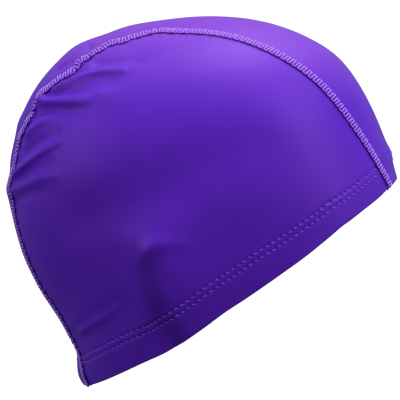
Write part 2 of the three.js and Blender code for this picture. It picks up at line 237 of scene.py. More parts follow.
ear_shade_share = node(knit_tree, "ShaderNodeAttribute")
ear_shade_share.attribute_name = "ear_shade"
painted_ear_shade = node(knit_tree, "ShaderNodeMix")
painted_ear_shade.data_type = "RGBA"
painted_ear_shade.inputs["B"].default_value = (0.089, 0.0148, 0.49, 1)
knit_tree.links.new(ear_shade_share.outputs["Fac"], painted_ear_shade.inputs["Factor"])
knit_tree.links.new(crown_highlight.outputs["Result"], painted_ear_shade.inputs["A"])
knit_tree.links.new(painted_ear_shade.outputs["Result"], knit_shader.inputs["Base Color"])

gloss = node(knit_tree, "ShaderNodeMapRange", **{"To Min": 0.38, "To Max": 0.50})
knit_tree.links.new(stretch.outputs["Fac"], gloss.inputs["Value"])
knit_tree.links.new(gloss.outputs["Result"], knit_shader.inputs["Roughness"])

# %% Rows of knitted loops
loop_pitch = 0.45
wales = node(knit_tree, "ShaderNodeTexWave", Scale=math.pi / 10 / loop_pitch, Distortion=0.6)
wales.bands_direction = "X"
courses = node(knit_tree, "ShaderNodeTexWave", Scale=math.pi / 8 / loop_pitch, Distortion=0.6)
courses.bands_direction = "Y"
for rows in (wales, courses):
    knit_tree.links.new(knit_place.outputs["UV"], rows.inputs["Vector"])
loops = node(knit_tree, "ShaderNodeMath")
loops.operation = "MULTIPLY"
knit_tree.links.new(wales.outputs["Fac"], loops.inputs[0])
knit_tree.links.new(courses.outputs["Fac"], loops.inputs[1])
knit_bump = node(knit_tree, "ShaderNodeBump", Strength=0.12, Distance=0.08 * MM)
knit_tree.links.new(loops.outputs["Value"], knit_bump.inputs["Height"])
knit_tree.links.new(knit_bump.outputs["Normal"], knit_shader.inputs["Normal"])

# %% Seam thread
thread = bpy.data.materials.new("seam_thread")
thread.use_nodes = True
thread_tree = thread.node_tree
thread_shader = thread_tree.nodes["Principled BSDF"]
thread_shader.inputs["Roughness"].default_value = 0.6
thread_shader.inputs["Sheen Weight"].default_value = 0.1
thread_shader.inputs["Sheen Tint"].default_value = (0.8, 0.5, 1.0, 1)
thread_shader.inputs["Specular IOR Level"].default_value = 0.2
thread_place = node(thread_tree, "ShaderNodeTexCoord")
twist = node(thread_tree, "ShaderNodeTexNoise", Scale=1600.0, Detail=2.0)
thread_tree.links.new(thread_place.outputs["Object"], twist.inputs["Vector"])
lilac = node(thread_tree, "ShaderNodeValToRGB")
lilac.color_ramp.elements[0].position = 0.35
lilac.color_ramp.elements[0].color = (0.42, 0.17, 0.92, 1)
lilac.color_ramp.elements[1].position = 0.7
lilac.color_ramp.elements[1].color = (0.66, 0.38, 1.0, 1)
thread_tree.links.new(twist.outputs["Fac"], lilac.inputs["Fac"])
thread_tree.links.new(lilac.outputs["Color"], thread_shader.inputs["Base Color"])
thread_bump = node(thread_tree, "ShaderNodeBump", Strength=0.3, Distance=0.1 * MM)
thread_tree.links.new(twist.outputs["Fac"], thread_bump.inputs["Height"])
thread_tree.links.new(thread_bump.outputs["Normal"], thread_shader.inputs["Normal"])

# %% Hem thread, nearer to the cloth's own colour
hem_thread = thread.copy()
hem_thread.name = "hem_thread"
hem_lilac = next(part for part in hem_thread.node_tree.nodes if part.type == "VALTORGB")
hem_lilac.color_ramp.elements[0].color = (0.24, 0.07, 0.76, 1)
hem_lilac.color_ramp.elements[1].color = (0.42, 0.17, 0.95, 1)

# %% [markdown]
# ## The outer face of each panel
#
# The solid model holds each panel as a closed wall of flat triangles. For cloth we want only its
# outer face, as a smooth grid. So a copy of the node's mesh is merged, one face that looks away
# from the head is chosen, and the choice grows over every edge that isn't as sharp as the wall's
# rim. The rest is deleted, and the triangles are joined to the quads that they came from.
# A subdivision surface then rounds it. It could be modelled anew, but then the cloth would not
# follow the sizes of the solid model.

# %% Read a panel's outer face
panel_names = ["centre_panel", "side_panel_right", "side_panel_left"]
rim_angle = math.radians(50)


def outer_grid(name):
    """The outer face of a panel as a grid of quads."""
    grid = bmesh.new()
    grid.from_mesh(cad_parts[name].data)
    bmesh.ops.remove_doubles(grid, verts=grid.verts, dist=0.01 * MM)
    start = max(
        grid.faces,
        key=lambda face: face.normal.dot((face.calc_center_median() - head_middle).normalized()),
    )
    outer = {start}
    border = [start]
    while border:
        for edge in border.pop().edges:
            if edge.calc_face_angle() < rim_angle:
                found = set(edge.link_faces) - outer
                outer |= found
                border.extend(found)
    rest = [face for face in grid.faces if face not in outer]
    bmesh.ops.delete(grid, geom=rest, context="FACES")
    bmesh.ops.join_triangles(
        grid, faces=grid.faces, angle_face_threshold=math.pi, angle_shape_threshold=math.pi,
    )
    return grid


grids = {name: outer_grid(name) for name in panel_names}
for name, grid in grids.items():
    quads = sum(len(face.verts) == 4 for face in grid.faces)
    print(name, len(grid.verts), "points", len(grid.faces), "faces", quads, "quads")

# %% [markdown]
# ## Lines that the sewing follows
#
# Two kinds of line guide everything that is sewn: the edge of the hem all round, and the seam on
# each side. They are read from the panels' own borders: where a border point has a point of the
# next panel close beside it, it lies on a seam, and otherwise on the hem. Each line is then
# divided evenly, so that stitches can be counted along it.

# %% Trace the borders
def chains_of(edges):
    """Lists of points, in order, for each row of edges that hang together."""
    beside = {}
    for edge in edges:
        for vert in edge.verts:
            beside.setdefault(vert, []).append(edge)
    left_over = set(edges)
    chains = []
    for start in [vert for vert, around in beside.items() if len(around) == 1]:
        chain = [start]
        step = next((edge for edge in beside[start] if edge in left_over), None)
        while step:
            left_over.discard(step)
            chain.append(step.other_vert(chain[-1]))
            step = next((edge for edge in beside[chain[-1]] if edge in left_over), None)
        if len(chain) > 1:
            chains.append([vert.co.copy() for vert in chain])
    return chains


def search_tree(points):
    """A tree that finds the nearest of some points."""
    tree = KDTree(len(points))
    for index, point in enumerate(points):
        tree.insert(point, index)
    tree.balance()
    return tree


def even_line(points, step):
    """The same line with points about one step apart, from end to end."""
    places = [0.0]
    for before, after in zip(points, points[1:]):
        places.append(places[-1] + (after - before).length)
    count = max(2, round(places[-1] / step))
    line = []
    index = 1
    for number in range(count + 1):
        place = places[-1] * number / count
        while index < len(points) - 1 and places[index] < place:
            index += 1
        share = (place - places[index - 1]) / (places[index] - places[index - 1])
        line.append(points[index - 1].lerp(points[index], share))
    return line


# %% Seam and hem lines
line_step = 0.4 * MM
sewn_reach = 0.8 * MM
side_panels = {"right": "side_panel_right", "left": "side_panel_left"}


def border_points(names):
    return [vert.co for name in names for vert in grids[name].verts if vert.is_boundary]


beside_side = search_tree(border_points(["centre_panel"]))
beside_centre = search_tree(border_points(side_panels.values()))


def is_sewn(name, edge):
    """Whether a border edge has the next panel close beside both its ends."""
    tree = beside_centre if name == "centre_panel" else beside_side
    return all(tree.find(vert.co)[2] < sewn_reach for vert in edge.verts)


hem_lines = {}
for name in panel_names:
    hem = [edge for edge in grids[name].edges if edge.is_boundary and not is_sewn(name, edge)]
    hem_lines[name] = [even_line(chain, line_step) for chain in chains_of(hem)]
    print(name, "hem", [round(len(line) * line_step / MM) for line in hem_lines[name]], "mm")

seam_lines = {}
for hand, name in side_panels.items():
    sewn = [edge for edge in grids[name].edges if edge.is_boundary and is_sewn(name, edge)]
    seam_lines[hand] = max((even_line(chain, line_step) for chain in chains_of(sewn)), key=len)
    print(name, "seam", round(len(seam_lines[hand]) * line_step / MM), "mm")

# %% [markdown]
# ## Fine cloth
#
# A subdivision surface rounds each grid to cells of about 1.6 mm. That is fine enough for broad
# forms, but a needle stitch is less than 2 mm long, so the strips under the hem's needle rows and
# beside each seam are divided twice more, and later the narrow creases and the ear once. A cloth
# simulation would relax this tight cloth to a smooth skin, and the folds that the photograph shows
# come from how it was pulled on. So the folds are placed one by one, as a sculptor would, from short
# tables.

# %% Round a grid with a subdivision surface
def rounded(grid, name, levels):
    """The grid as a new bmesh with a subdivision surface applied."""
    mesh = bpy.data.meshes.new(name)
    grid.to_mesh(mesh)
    item = link(name, mesh)
    fine = item.modifiers.new("fine", "SUBSURF")
    fine.levels = fine.render_levels = levels
    fine.boundary_smooth = "PRESERVE_CORNERS"
    cloth = bmesh.new()
    cloth.from_object(item, bpy.context.evaluated_depsgraph_get())
    bpy.data.objects.remove(item)
    bpy.data.meshes.remove(mesh)
    return cloth


def divide_where(cloth, near):
    """Divide the faces whose middle is near something."""
    faces = [face for face in cloth.faces if near(face.calc_center_median())]
    edges = list({edge for face in faces for edge in face.edges})
    verts = {vert for face in faces for vert in face.verts}
    made = bmesh.ops.subdivide_edges(cloth, edges=edges, cuts=1, use_grid_fill=True)
    new = [
        part for part in made["geom_inner"]
        if isinstance(part, bmesh.types.BMVert) and not part.is_boundary and part not in verts
    ]
    for turn in range(2):
        bmesh.ops.smooth_vert(
            cloth, verts=new, factor=0.5, use_axis_x=True, use_axis_y=True, use_axis_z=True,
        )


# %% Fine grids
first_seam_tree = search_tree([point for line in seam_lines.values() for point in line])
first_hem_tree = search_tree([
    point for lines in hem_lines.values() for line in lines for point in line
])

cloths = {}
for name, grid in grids.items():
    cloth = rounded(grid, name + "_grid", 2)
    grid.free()
    for reach in (7 * MM, 4 * MM):
        divide_where(cloth, lambda co: first_seam_tree.find(co)[2] < reach)
    for turn in range(2):
        divide_where(cloth, lambda co: 10.5 * MM < first_hem_tree.find(co)[2] < 17.5 * MM)
    cloth.normal_update()
    cloths[name] = cloth
    print(name, len(cloth.faces), "faces")

# %% Surface that threads and folds are laid on
def surface_of(meshes):
    """A search tree over the faces of some bmeshes together."""
    places = []
    faces = []
    for part in meshes:
        part.verts.index_update()
        start = len(places)
        places += [vert.co.copy() for vert in part.verts]
        faces += [[start + vert.index for vert in face.verts] for face in part.faces]
    return BVHTree.FromPolygons(places, faces)


smooth_cap = surface_of(cloths.values())


# %% Frames along a line
def frames_along(line, towards, surface):
    """For each point of a line: the point, the way along, outwards, and across to a point."""
    frames = []
    reach = 3
    for number, point in enumerate(line):
        along = line[min(number + reach, len(line) - 1)] - line[max(number - reach, 0)]
        along.normalize()
        outward = surface.find_nearest(point)[1].copy()
        outward -= along * outward.dot(along)
        outward.normalize()
        across = outward.cross(along).normalized()
        if across.dot(towards - point) < 0:
            across.negate()
        frames.append((point, along, outward, across))
    return frames


crown_inside = Vector((0, 0, 0))
ear_sides = {
    "right": head_middle + Vector((-80 * MM, 0, 0)),
    "left": head_middle + Vector((80 * MM, 0, 0)),
}


def trace_seams(surface):
    """Frames of both seams as their lines lie now."""
    return {
        hand: frames_along(line, ear_sides[hand], surface) for hand, line in seam_lines.items()
    }


def trace_hems(surface):
    """Frames of every hem line, as the lines lie now, one list for each."""
    return [
        frames_along(line, crown_inside, surface) for lines in hem_lines.values() for line in lines
    ]


seam_frames = trace_seams(smooth_cap)

# %% [markdown]
# ## Cloth drawn along itself
#
# The pull of the folds draws the back seams into short waves, and the hem hangs unevenly. Moving
# the points along the surface, before anything is lifted, keeps the cloth's cells even. Each row of
# these tables is one pull that was read from the photograph.

# %% Tables of pulls along the cloth
# Where the folds draw a seam sideways: the place in the side view in millimetres from the middle
# of the head, how far the seam moves towards the ear, and how far that reaches along the seam.
sway_rows = [
    {"side": -1, "y": 54.0, "z": -77.0, "sway": 1.6, "reach": 6.0},
    {"side": -1, "y": 71.5, "z": -45.0, "sway": -1.8, "reach": 7.0},
    {"side": -1, "y": 83.0, "z": -24.0, "sway": 1.2, "reach": 8.0},
    {"side": -1, "y": 87.4, "z": 4.5, "sway": -3.4, "reach": 4.5},
    {"side": -1, "y": 86.2, "z": 15.5, "sway": 1.4, "reach": 3.8},
    {"side": -1, "y": 82.0, "z": 29.3, "sway": -2.4, "reach": 4.0},
    {"side": -1, "y": 77.0, "z": 42.5, "sway": 3.4, "reach": 3.6},
    {"side": -1, "y": 72.8, "z": 49.5, "sway": -2.0, "reach": 3.4},
    {"side": -1, "y": 62.0, "z": 58.8, "sway": -1.0, "reach": 2.6},
    {"side": -1, "y": 55.2, "z": 64.5, "sway": 2.0, "reach": 2.2},
    {"side": -1, "y": 48.7, "z": 70.3, "sway": 1.4, "reach": 2.4},
    {"side": -1, "y": 38.0, "z": 75.3, "sway": -2.2, "reach": 4.0},
    {"side": -1, "y": 14.3, "z": 82.0, "sway": -1.2, "reach": 5.0},
    {"side": -1, "y": -96.0, "z": 8.8, "sway": -1.6, "reach": 6.0},
    {"side": 1, "y": 84.0, "z": 18.0, "sway": -1.8, "reach": 5.0},
    {"side": 1, "y": 76.0, "z": 42.0, "sway": 2.2, "reach": 4.0},
    {"side": 1, "y": 66.0, "z": 56.0, "sway": -1.6, "reach": 4.0},
    {"side": 1, "y": 50.0, "z": 69.0, "sway": 1.5, "reach": 3.5},
]
# How far the hem's edge hangs below the solid model's: a length all round, and waves in it.
hem_drop = 0.8 * MM
hem_wave_rows = [
    {"y": 58.0, "drop": 0.5, "reach": 6.0},
    {"y": 40.0, "drop": -0.15, "reach": 10.0},
    {"y": 6.0, "drop": 0.7, "reach": 8.0},
    {"y": -8.0, "drop": -0.5, "reach": 10.0},
    {"y": -22.0, "drop": -0.6, "reach": 8.0},
    {"y": -58.0, "drop": 0.35, "reach": 11.0},
    {"y": -76.0, "drop": -0.4, "reach": 3.5},
    {"y": -93.0, "drop": 0.5, "reach": 6.0},
]


# %% Draw the cloth along itself
def bell(distance, width):
    return math.exp(-((distance / width) ** 2))


seam_marks = [
    (mark, side) for side, hand in ((-1, "right"), (1, "left")) for mark in seam_frames[hand]
]
hem_marks = [mark for frames in trace_hems(smooth_cap) for mark in frames]


def in_side_view(point, y, z):
    """Distance in the side view, in millimetres, from a place given from the head's middle."""
    from_middle = (point - head_middle) / MM
    return math.hypot(from_middle.y - y, from_middle.z - z)


def drawn(point):
    """Where a point of the cloth goes as the seams sway and the hem hangs."""
    place = point.copy()
    middle, index, distance = first_seam_tree.find(point)
    if distance < 16 * MM:
        (start, along, outward, across), side = seam_marks[index]
        pull = sum(
            row["sway"] * bell(in_side_view(middle, row["y"], row["z"]), row["reach"])
            for row in sway_rows if row["side"] == side
        )
        place += across * pull * MM * bell(distance, 6 * MM)
    edge, index, height = first_hem_tree.find(point)
    if height < 14 * MM:
        waves = sum(
            row["drop"] * bell(edge.y / MM - row["y"], row["reach"]) for row in hem_wave_rows
        )
        place -= hem_marks[index][3] * (hem_drop + waves * MM) * (1 - height / (14 * MM))
    return place


for cloth in cloths.values():
    for vert in cloth.verts:
        vert.co = drawn(vert.co)
    cloth.normal_update()
seam_lines = {hand: [drawn(point) for point in line] for hand, line in seam_lines.items()}
hem_lines = {
    name: [[drawn(point) for point in line] for line in lines] for name, lines in hem_lines.items()
}
smooth_cap = surface_of(cloths.values())
seam_frames = trace_seams(smooth_cap)
seam_points = [
    (point, number * line_step, across)
    for frames in seam_frames.values()
    for number, (point, along, outward, across) in enumerate(frames)
]
hem_points = [
    (point, number * line_step)
    for lines in hem_lines.values() for line in lines for number, point in enumerate(line)
]
seam_tree = search_tree([mark[0] for mark in seam_points])
hem_tree = search_tree([mark[0] for mark in hem_points])

# %% [markdown]
# ## Creases, the ear and swells
#
# Sharp folds run from the back seam into the side panel, where the cloth was pulled up and forward.
# The ear shows as a soft rim and a hollow behind it, and the outline of the crown and nape has broad
# swells. A brush would leave marks that can't be read again, so each form is a row of a table: a
# line or a place in the side view, a width and a lift.

# %% Table of creases
# Ridges and valleys of the pulled cloth, seen from the side: places along each, y and z in
# millimetres from the middle of the head, half width, lift, and how much of the lift is gone at the
# far end. A peak is the share of the way along where the lift is greatest, if not at the start.
# Side is -1 on the wearer's right and 1 on the left.
crease_rows = [
    {
        "side": -1, "width": 2.4, "lift": 2.5, "fade": 0.6, "peak": 0.5,
        "line": [(65, 54.4), (61, 56), (54, 58.7), (46, 61.5), (38.5, 63.8), (30, 64.5)],
    },
    {
        "side": -1, "width": 3.2, "lift": -2.1, "fade": 0.7,
        "line": [(67, 51.5), (64, 52.5), (56, 54), (45, 56.6), (35, 58.7)],
    },
    {"side": -1, "width": 2.7, "lift": 3.0, "fade": 0.7, "line": [(71, 48.7), (60, 49.2), (45.7, 50.2)]},
    {"side": -1, "width": 3.0, "lift": -0.9, "fade": 0.6, "line": [(69, 43.7), (59, 44.1), (49.5, 44.9)]},
    {"side": -1, "width": 3.6, "lift": -2.2, "fade": 0.4, "line": [(43, 68.1), (34, 69.3), (24, 69.7)]},
    {"side": -1, "width": 2.8, "lift": 1.9, "fade": 0.5, "line": [(77, 32.6), (70, 38.2), (62, 42.8)]},
    {"side": -1, "width": 3.0, "lift": -2.0, "fade": 0.5, "line": [(79.6, 23.9), (73, 28.6), (62, 34.5)]},
    {
        "side": -1, "width": 1.9, "lift": 1.9, "fade": 0.7,
        "line": [(85.3, 11.9), (78, 17.8), (71, 23.3), (60, 30)],
    },
    {"side": -1, "width": 2.2, "lift": -0.9, "fade": 0.6, "line": [(82, 11.4), (72.7, 16.5), (63, 20.7)]},
    {
        "side": -1, "width": 2.4, "lift": 1.2, "fade": 0.7,
        "line": [(87, 3.4), (78.7, 7.5), (69.6, 11.6), (61, 14.4)],
    },
    {"side": -1, "width": 2.6, "lift": -0.8, "fade": 0.7, "line": [(85.7, -0.7), (77, 3.3), (67, 6.9)]},
    {"side": -1, "width": 1.2, "lift": -1.0, "fade": 0.2, "line": [(50.5, 75.2), (48.2, 73)]},
    {"side": -1, "width": 2.6, "lift": -0.9, "fade": 0.4, "line": [(64.3, 63.6), (58, 66.7)]},
    {"side": -1, "width": 2.2, "lift": 1.1, "fade": 0.7, "line": [(51, -63.5), (39.5, -55.2), (28.6, -47.2)]},
    {"side": -1, "width": 14, "lift": -2.2, "fade": 0.4, "line": [(45, -7), (33, -1.5), (4, 15), (-33, 30)]},
    {"side": 1, "width": 2.0, "lift": 1.4, "fade": 0.6, "line": [(64, 55), (56, 57), (46, 58)]},
    {"side": 1, "width": 2.8, "lift": -1.1, "fade": 0.5, "line": [(64, 51), (55, 52.6), (46, 53)]},
    {"side": 1, "width": 2.0, "lift": 1.3, "fade": 0.7, "line": [(83, 18), (72, 26), (60, 32)]},
    {"side": 1, "width": 2.6, "lift": -0.9, "fade": 0.5, "line": [(83, 13), (73, 20), (62, 26)]},
    {"side": 1, "width": 2.2, "lift": 1.1, "fade": 0.7, "line": [(50, -61), (40, -54), (29, -47)]},
    {"side": 1, "width": 14, "lift": -2.2, "fade": 0.4, "line": [(45, -7), (33, -1.5), (4, 15), (-33, 30)]},
]
# The upper rim of the ear under the cloth, strongest at its peak, a share of the way along.
crease_rows += [
    {
        "side": side, "width": 4.0, "lift": 1.6, "fade": 0.9, "peak": 0.4,
        "line": [(17.6, -24.5), (15.2, -20), (12, -17.2), (8, -15.9), (3, -15.5), (-6, -16.2)],
    }
    for side in (-1, 1)
]
# The hollow behind the ear, and the crisp line where the cloth starts to climb over the ear.
ear_line = [
    (23, 0), (20.5, -14), (19, -26.7), (19.5, -34.5), (18, -41.8), (14.1, -49.4), (9.3, -57.1),
    (2.9, -67.2),
]
ear_hollow = 1.4
ear_rise = 1.1
ear_run = 11.0

# Swells and dents that cross the centre panel, by their place on its middle line in the side view.
swell_rows = [
    {"y": 61.0, "z": 73.6, "width": 8.0, "lift": 0.8},
    {"y": 88.9, "z": 36.1, "width": 5.0, "lift": 0.7},
    {"y": 93.7, "z": 10.8, "width": 5.0, "lift": -0.8},
    {"y": 96.0, "z": 1.6, "width": 3.6, "lift": 0.8},
    {"y": 91.4, "z": -18.6, "width": 14.0, "lift": -0.8},
    {"y": 75.8, "z": -52.8, "width": 12.0, "lift": 0.7},
    {"y": 61.1, "z": -77.4, "width": 4.5, "lift": -1.0},
    {"y": 59.6, "z": -94.0, "width": 9.0, "lift": 4.9},
    {"y": -70.7, "z": 70.2, "width": 15.0, "lift": 0.8},
    {"y": -91.9, "z": 38.0, "width": 14.0, "lift": 0.3},
    {"y": -99.0, "z": 22.0, "width": 4.0, "lift": 1.1},
    {"y": -101.0, "z": 6.0, "width": 6.0, "lift": 0.3},
    {"y": 92.0, "z": 24.0, "width": 14.0, "lift": -0.5},
    {"y": 24.0, "z": 88.0, "width": 22.0, "lift": -0.5},
    {"y": 45.0, "z": 82.0, "width": 8.0, "lift": -0.7},
]


# %% Lay the creases on the cap
def on_cap(side, y, z):
    """The point of the cap that the side view shows at y and z, in millimetres."""
    start = head_middle + Vector((side * 200, y, z)) * MM
    hit = smooth_cap.ray_cast(start, Vector((-side, 0, 0)))[0]
    return hit or smooth_cap.find_nearest(head_middle + Vector((side * 20, y, z)) * MM)[0]


creases = []
for row in crease_rows:
    places = [on_cap(row["side"], y, z) for y, z in row["line"]]
    middle = sum(places, Vector()) / len(places)
    spread = 3 * row["width"] * MM + max((place - middle).length for place in places)
    creases.append({**row, "places": places, "middle": middle, "spread": spread})
print(len(creases), "creases and", len(swell_rows), "swells")


# %% Finer cells at the ear and where the creases are narrow
def needs_finer_cells(point):
    if seam_tree.find(point)[2] <= 6.5 * MM:
        return False
    if abs(point.x) > 50 * MM and in_side_view(point, 13, -35) < 22:
        return True
    return hem_tree.find(point)[2] > 19 * MM and any(
        crease["width"] < 5
        and (point - crease["middle"]).length < crease["spread"] - crease["width"] * MM
        for crease in creases
    )


for name, cloth in cloths.items():
    divide_where(cloth, needs_finer_cells)
    cloth.normal_update()
    print(name, len(cloth.faces), "faces")


# %% How far each thing lifts the cloth
def crease_lift(point):
    """Each crease lifts the cloth most on its line and dies out along it."""
    lift = 0
    for crease in creases:
        if (point - crease["middle"]).length > crease["spread"]:
            continue
        places = crease["places"]
        nearest = 1
        far = 0
        for number in range(len(places) - 1):
            run = places[number + 1] - places[number]
            share = min(1, max(0, (point - places[number]).dot(run) / run.length_squared))
            distance = (point - places[number] - share * run).length
            if distance < nearest:
                nearest = distance
                peak = crease.get("peak", 0)
                far = ((number + share) / (len(places) - 1) - peak) / (1 - peak)
        strength = crease["lift"] * (1 - crease["fade"] * far * far)
        lift += strength * MM * bell(nearest, crease["width"] * MM)
    return lift


def ahead_of_ear_line(point):
    """How far a point lies in front of the line behind the ear, in millimetres of the side view."""
    place = (point - head_middle).yz / MM
    nearest, ahead = 1000, 0
    for start, end in zip(ear_line, ear_line[1:]):
        start, run = Vector(start), Vector(end) - Vector(start)
        share = min(1, max(0, (place - start).dot(run) / run.length_squared))
        distance = (place - start - share * run).length
        if distance < nearest:
            nearest = distance
            ahead = math.copysign(distance, run.y * (place - start).x - run.x * (place - start).y)
    return ahead


def below_ear_top(point, run):
    """From 0 at the top of the ear to 1 a run of millimetres lower."""
    share = min(1, max(0, ((head_middle - point).z / MM - 10) / run))
    return share * share * (3 - 2 * share)


def ear_lift(point):
    """The cloth sinks behind the ear, climbs over it from a crisp line, and settles in front."""
    ahead = ahead_of_ear_line(point)
    if ahead < 0:
        lift = -ear_hollow * bell(ahead, 11)
    elif ahead < ear_run:
        share = ahead / ear_run
        lift = -ear_hollow + (ear_hollow + ear_rise) * (1.5 * share - 0.5 * share ** 3)
    else:
        lift = ear_rise * bell(ahead - ear_run, 20)
    return lift * MM * below_ear_top(point, 20)


def ear_shade(point):
    """How much painted shade darkens the cloth: 1 on the band where it climbs over the ear, 0 elsewhere."""
    ahead = ahead_of_ear_line(point)
    start, end = min(1, max(0, ahead + 0.5)), min(1, max(0, (15 - ahead) / 8))
    return start * end * below_ear_top(point, 12)


def swell_lift(point):
    """Broad rounded swells and dents."""
    return sum(
        row["lift"] * MM * bell(in_side_view(point, row["y"], row["z"]), row["width"])
        for row in swell_rows
    )


def broad_lift(point):
    """All the forms that the sewn lines take part in, and a hair's breadth all over."""
    return crease_lift(point) + ear_lift(point) + swell_lift(point) + 0.25 * MM


def seam_lift(point):
    """Small gathers where the seam thread draws the cloth in, and a groove under its free edge."""
    middle, index, distance = seam_tree.find(point)
    if distance > 14 * MM:
        return 0
    place, across = seam_points[index][1:]
    back = min(1, max(0, (point.y / MM + 10) / 60))
    depth = (0.06 + 0.16 * back) * MM
    wave = math.cos(2 * math.pi * place / (6.5 * MM) + 3 * noise.noise(middle / (25 * MM)))
    lift = depth * wave * bell(distance, 6 * MM) - 0.15 * MM * bell(distance, 1.6 * MM)
    return lift - 0.1 * MM * bell((point - middle).dot(across) - 2.4 * MM, 0.8 * MM)


# %% How the hem stitches draw the cloth in
needle_rows = [13.1 * MM, 16.3 * MM]
stitch_pitch = 3.2 * MM


def row_height(row, y):
    """Height of a needle row above the edge: the rows come down a little at both ends."""
    front = min(1, max(0, (-y / MM - 45) / 40))
    back = min(1, max(0, (y / MM - 20) / 30))
    return row - 2.8 * MM * front - 1.0 * MM * back


def hem_lift(point):
    """Each needle stitch dimples the hem, and the cloth between the rows swells a little."""
    edge, index, height = hem_tree.find(point)
    if height > 22 * MM:
        return 0
    place = hem_points[index][1]
    lift = 0.35 * MM * bell(height, 8 * MM) * noise.noise(edge / (14 * MM))
    lift += 0.08 * MM * bell(height - row_height(14.7 * MM, edge.y), 1.0 * MM)
    lift += 0.10 * MM * bell(height - 10.8 * MM, 1.6 * MM)
    for number, row in enumerate(needle_rows):
        row = row_height(row, edge.y)
        along = (place / stitch_pitch + 0.5 * number) % 1
        hole = min(along, 1 - along) * stitch_pitch
        lift -= 0.06 * MM * bell(height - row, 0.7 * MM)
        lift -= 0.42 * MM * bell(height - row, 0.7 * MM) * bell(hole, 0.8 * MM)
    return lift


def cloth_lift(point):
    """Everything together, with a little unevenness all over."""
    uneven = 0.10 * noise.noise(point / (22 * MM)) + 0.03 * noise.noise(point / (6 * MM))
    return broad_lift(point) + seam_lift(point) + hem_lift(point) + uneven * MM


# %% Lift the cloth
for name, cloth in cloths.items():
    lifts = [vert.normal * cloth_lift(vert.co) for vert in cloth.verts]
    # Each point keeps its share of the painted shade behind the ear, for the knit's colour.
    ear_shade_layer = cloth.verts.layers.float.new("ear_shade")
    for vert in cloth.verts:
        vert[ear_shade_layer] = ear_shade(vert.co)
    for vert, lift in zip(cloth.verts, lifts):
        vert.co += lift
    cloth.normal_update()
    print(name, "largest lift", round(max(lift.length for lift in lifts) / MM, 2), "mm")

dressed_cap = surface_of(cloths.values())

# %% [markdown]
# ## Sewn lines follow the cloth
#
# The hem and the seams lie on the folds, so their lines take part in every broad form of the cloth.
# The fine gathers are left to the cloth alone, so that the threads run evenly over them.

# %% Lift the sewn lines with the cloth
def lifted(point):
    """Where a point of a sewn line goes with the broad forms."""
    return point + smooth_cap.find_nearest(point)[1] * broad_lift(point)


drawn_seams = seam_lines
seam_lines = {hand: [lifted(point) for point in line] for hand, line in seam_lines.items()}
hem_lines = {
    name: [[lifted(point) for point in line] for line in lines] for name, lines in hem_lines.items()
}
seam_frames = trace_seams(smooth_cap)

# %% [markdown]
# ## The turned-up hem
#
# On the real cap the cloth is folded inwards along the lower edge and runs 17.6 mm up inside. Here
# the border edges are extruded ring by ring: first round a half circle, which is the soft fold,
# and then up the inside, a cloth's thickness behind the outer layer. A thin wall by itself would
# show a sharp cut edge instead.

# %% Fold the hem
cloth_thick = 0.6 * MM
fold_radius = 0.7 * MM
turn_up_heights = [1.0, 2.5, 5.0, 8.0, 11.0, 14.0, 17.6]


def fold_hem(cloth, lines):
    """Extrude the hem's border round the fold and up the inside."""
    near_hem = search_tree([point for line in lines for point in line])
    frames = [part for line in lines for part in frames_along(line, crown_inside, dressed_cap)]
    ring = [
        edge for edge in cloth.edges
        if edge.is_boundary
        and all(near_hem.find(vert.co)[2] < 0.9 * MM for vert in edge.verts)
    ]
    base = {}
    for vert in {vert for edge in ring for vert in edge.verts}:
        point, along, outward, across = frames[near_hem.find(vert.co)[1]]
        vert.co += across * fold_radius
        base[vert] = (vert.co.copy(), outward, across)

    def next_ring(place_of):
        nonlocal ring, base
        made = bmesh.ops.extrude_edge_only(cloth, edges=ring)["geom"]
        old = base
        base = {}
        ring = [part for part in made if isinstance(part, bmesh.types.BMEdge)]
        for vert in [part for part in made if isinstance(part, bmesh.types.BMVert)]:
            source = next(
                edge.other_vert(vert) for edge in vert.link_edges if edge.other_vert(vert) in old
            )
            base[vert] = old[source]
            vert.co = place_of(*old[source])

    for degrees in (30, 60, 90, 120, 150, 180):
        turn = math.radians(degrees)
        inwards = fold_radius * (1 - math.cos(turn))
        down = fold_radius * math.sin(turn)
        next_ring(lambda point, outward, across: point - outward * inwards - across * down)
    for height in turn_up_heights:
        def behind(point, outward, across):
            place, normal = dressed_cap.find_nearest(point + across * height * MM)[:2]
            if normal.dot(outward) < 0:
                normal = -normal
            return place - normal * 2 * fold_radius
        next_ring(behind)
    cloth.normal_update()
    return len(base)


for name, cloth in cloths.items():
    print(name, "hem folded at", fold_hem(cloth, hem_lines[name]), "points")

# %% [markdown]
# ## Panels as pieces
#
# Each dressed face becomes a piece with a UV map for its knit. The rows of loops run straight over
# the centre panel, and on a side panel they lie on a flat map round the middle of the ear side, so
# they bend as little as the real panel's do. Solidify then gives the cloth its 0.6 mm.

# %% Knit map
def knit_place_of(name, co):
    """Place on the flat cloth, in millimetres, of a point on a panel."""
    from_middle = (co - head_middle) / MM
    if name == "centre_panel":
        return from_middle.x, 95 * math.atan2(from_middle.z, -from_middle.y)
    side_way = math.hypot(from_middle.y, from_middle.z)
    reach = 85 * math.atan2(side_way, abs(from_middle.x)) / max(side_way, 0.001)
    return from_middle.y * reach, from_middle.z * reach


def finish_piece(name, shape, material):
    """Turn a bmesh into a smooth piece that rides on the cap."""
    mesh = bpy.data.meshes.new(name)
    shape.to_mesh(mesh)
    shape.free()
    mesh.polygons.foreach_set("use_smooth", [True] * len(mesh.polygons))
    mesh.materials.append(material)
    piece = link(name, mesh)
    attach(piece, "root")
    return piece


# %% Make the panels
for name, cloth in cloths.items():
    knit_map = cloth.loops.layers.uv.new("knit")
    for face in cloth.faces:
        for loop in face.loops:
            loop[knit_map].uv = knit_place_of(name, loop.vert.co)
    panel = finish_piece(name + "_cloth", cloth, knit)
    wall = panel.modifiers.new("wall", "SOLIDIFY")
    wall.thickness = cloth_thick
    wall.offset = -1
    wall.use_even_offset = False
    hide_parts(name)
    print(panel.name, len(panel.data.polygons), "faces")

